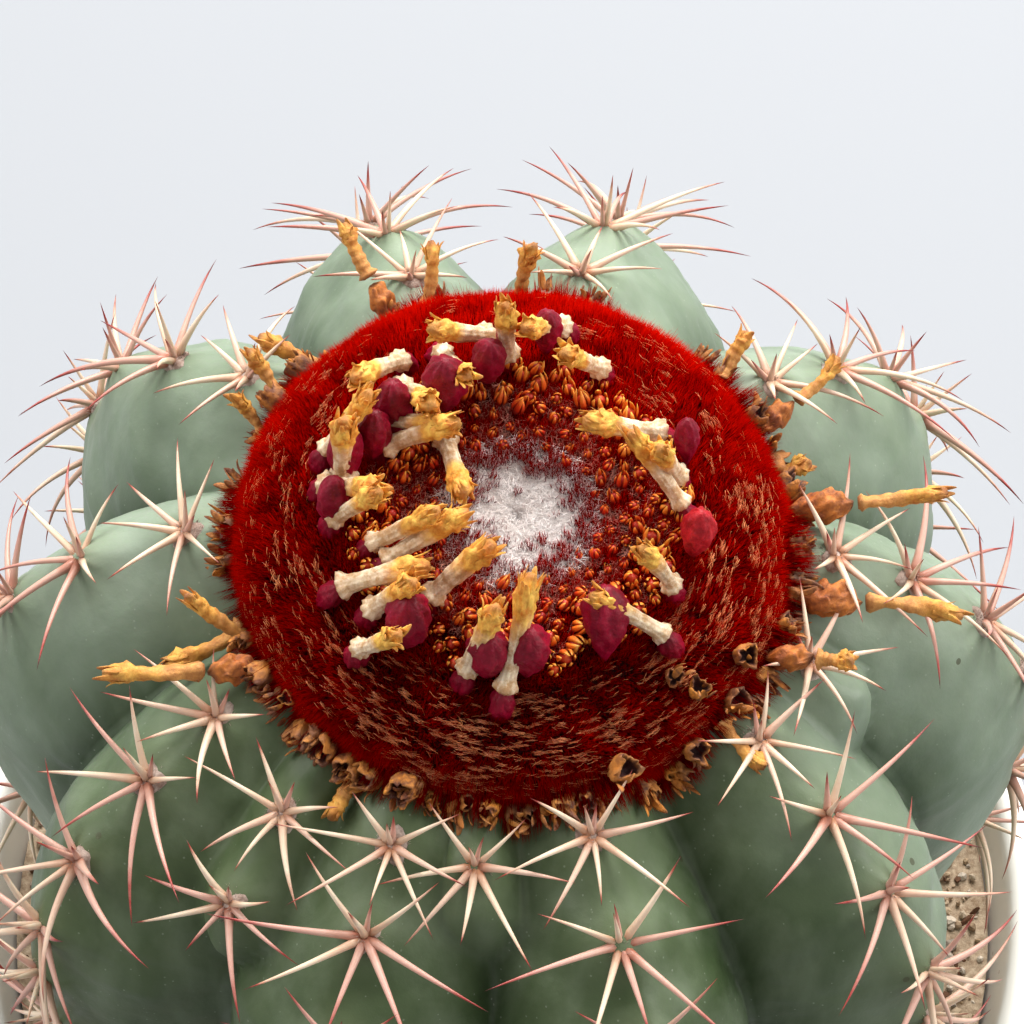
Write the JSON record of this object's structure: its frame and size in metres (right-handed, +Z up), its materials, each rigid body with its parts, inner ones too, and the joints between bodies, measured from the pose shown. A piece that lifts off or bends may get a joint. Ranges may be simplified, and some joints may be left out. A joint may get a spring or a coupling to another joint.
{
  "type": "potted cactus",
  "caption": "Round ribbed cactus with a red bristly cap of small flowers and fruits, growing in gritty soil in a plain round pot.",
  "frame": {"origin": "centre of the pot's flat underside", "axes": "+Z up along the pot's axis, -Y towards the front, where the cap of the plant leans"},
  "size_m": [0.188, 0.188, 0.2486],
  "materials": {
    "pot_glaze": "plain off-white glaze, satin gloss",
    "potting_mix": "matt, dark and crumbly",
    "grit": "loose matt grit and coarse sand",
    "stem_skin": "waxy blue-green skin with a pale bloom",
    "cephalium_bristle": "dense fine red bristle with pale wool between",
    "spine": "hard horny spines, cream to red at the tips",
    "areole_felt": "short grey-white felt",
    "wool": "soft white wool",
    "bud": "small waxy buds, red with orange tips",
    "fruit_skin": "glossy magenta berry skin",
    "dried_flower": "dry papery tubes with golden crumpled tips",
    "old_flower": "old brown shrivelled flower and fruit remains"
  },
  "bodies": {
    "root": {"fruit_1": "fruit_skin", "fruit_2": "fruit_skin", "fruit_3": "fruit_skin", "fruit_4": "fruit_skin", "fruit_5": "fruit_skin", "fruit_6": "fruit_skin", "fruit_7": "fruit_skin", "fruit_8": "fruit_skin", "dried_flower_1": "dried_flower", "dried_flower_2": "dried_flower", "dried_flower_3": "dried_flower", "dried_flower_4": "dried_flower", "dried_flower_5": "dried_flower", "dried_flower_6": "dried_flower", "dried_flower_7": "dried_flower", "dried_flower_8": "dried_flower", "dried_flower_9": "dried_flower", "dried_flower_10": "dried_flower", "dried_flower_11": "dried_flower", "dried_flower_12": "dried_flower", "cephalium": "cephalium_bristle", "pot": "pot_glaze", "potting_mix": "potting_mix", "grit_top_dressing": "grit", "stem": "stem_skin", "areole_rib1_row1": "spine", "areole_rib1_row2": "spine", "areole_rib1_row3": "spine", "areole_rib2_row1": "spine", "areole_rib2_row2": "spine", "areole_rib2_row3": "spine", "areole_rib3_row1": "spine", "areole_rib3_row2": "spine", "areole_rib3_row3": "spine", "areole_rib4_row1": "spine", "areole_rib4_row2": "spine", "areole_rib4_row3": "spine", "areole_rib5_row1": "spine", "areole_rib5_row2": "spine", "areole_rib5_row3": "spine", "areole_rib6_row1": "spine", "areole_rib6_row2": "spine", "areole_rib6_row3": "spine", "areole_rib7_row1": "spine", "areole_rib7_row2": "spine", "areole_rib7_row3": "spine", "areole_rib8_row1": "spine", "areole_rib8_row2": "spine", "areole_rib8_row3": "spine", "areole_rib9_row1": "spine", "areole_rib9_row2": "spine", "areole_rib9_row3": "spine", "areole_rib10_row1": "spine", "areole_rib10_row2": "spine", "areole_rib10_row3": "spine", "areole_young_rib1_row1": "spine", "areole_young_rib2_row1": "spine", "areole_young_rib2_row2": "spine", "areole_young_rib3_row1": "spine"}
  },
  "joints": []
}
